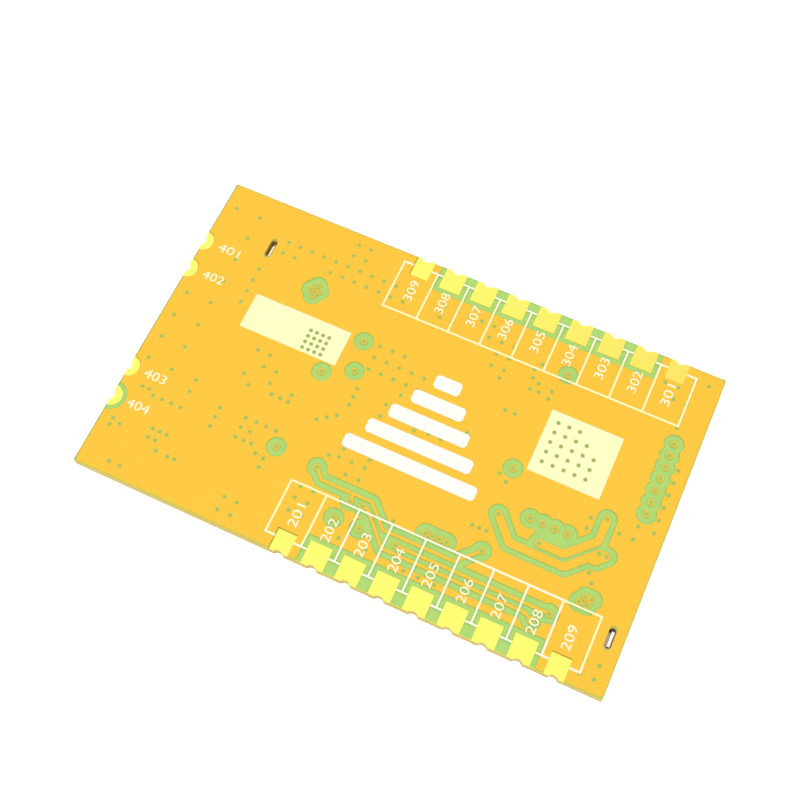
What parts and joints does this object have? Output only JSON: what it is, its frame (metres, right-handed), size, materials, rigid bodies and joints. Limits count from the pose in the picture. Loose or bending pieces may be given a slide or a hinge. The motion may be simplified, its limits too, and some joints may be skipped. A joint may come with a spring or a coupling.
{
  "type": "radio transceiver module",
  "caption": "Small radio module board with castellated edge pins, exposed pads, copper tracks and a folded shield can, lying underside up.",
  "frame": {"origin": "middle of the board in plan, at the outer face of the shield can's lid, which the module lies on", "axes": "+X along the long side away from the antenna end, +Y across the board, +Z out of the board's underside, the face with the solder pads"},
  "size_m": [0.04, 0.025, 0.0033],
  "materials": {
    "laminate": "green solder mask over glass-fibre laminate, satin",
    "masked_copper": "copper under a clear orange-gold mask, smooth satin",
    "pin_gold": "bright gold plating, satin",
    "pad_gold": "pale gold plating, satin",
    "slot_plating": "plated slot wall, dull",
    "white_ink": "white legend ink, matte",
    "can_metal": "tinned sheet, soft sheen",
    "package_black": "moulded black package, matte",
    "crystal_metal": "satin metal lid",
    "choke_ferrite": "pressed ferrite, matte",
    "capacitor_ceramic": "fired tan ceramic with tinned ends",
    "resistor_ceramic": "glazed black film on ceramic",
    "inductor_ceramic": "grey-blue ceramic with tinned ends",
    "socket_plastic": "moulded insulator, matte",
    "socket_gold": "gold plating, bright"
  },
  "bodies": {
    "root": {"laminate_board": "laminate", "underside_pour": "masked_copper", "exposed_pad_left": "pad_gold", "exposed_pad_right": "pad_gold", "track_long": "masked_copper", "track_middle": "masked_copper", "track_lower": "masked_copper", "supply_track_upper": "masked_copper", "supply_track_lower": "masked_copper", "via_lands": "masked_copper", "slot_barrel_left": "slot_plating", "slot_barrel_right": "slot_plating", "ink_table_front": "white_ink", "ink_table_back": "white_ink", "ink_mark": "white_ink", "rear_pour": "masked_copper", "antenna_line": "masked_copper", "shield_can": "can_metal", "transceiver": "package_black", "power_amplifier": "package_black", "antenna_switch": "package_black", "crystal": "crystal_metal", "regulator": "package_black", "supply_choke": "choke_ferrite", "chip_capacitors": "capacitor_ceramic", "chip_resistors": "resistor_ceramic", "chip_inductors": "inductor_ceramic", "socket_base": "socket_plastic", "socket_shell": "socket_gold", "socket_pin": "socket_gold", "socket_tabs": "socket_gold", "pin_01": "pin_gold", "pin_02": "pin_gold", "pin_03": "pin_gold", "pin_04": "pin_gold", "pin_05": "pin_gold", "pin_06": "pin_gold", "pin_07": "pin_gold", "pin_08": "pin_gold", "pin_09": "pin_gold", "pin_10": "pin_gold", "pin_11": "pin_gold", "pin_12": "pin_gold", "pin_13": "pin_gold", "pin_14": "pin_gold", "pin_15": "pin_gold", "pin_16": "pin_gold", "pin_17": "pin_gold", "pin_18": "pin_gold", "pin_19": "pin_gold", "pin_20": "pin_gold", "pin_21": "pin_gold", "pin_22": "pin_gold"}
  },
  "joints": []
}
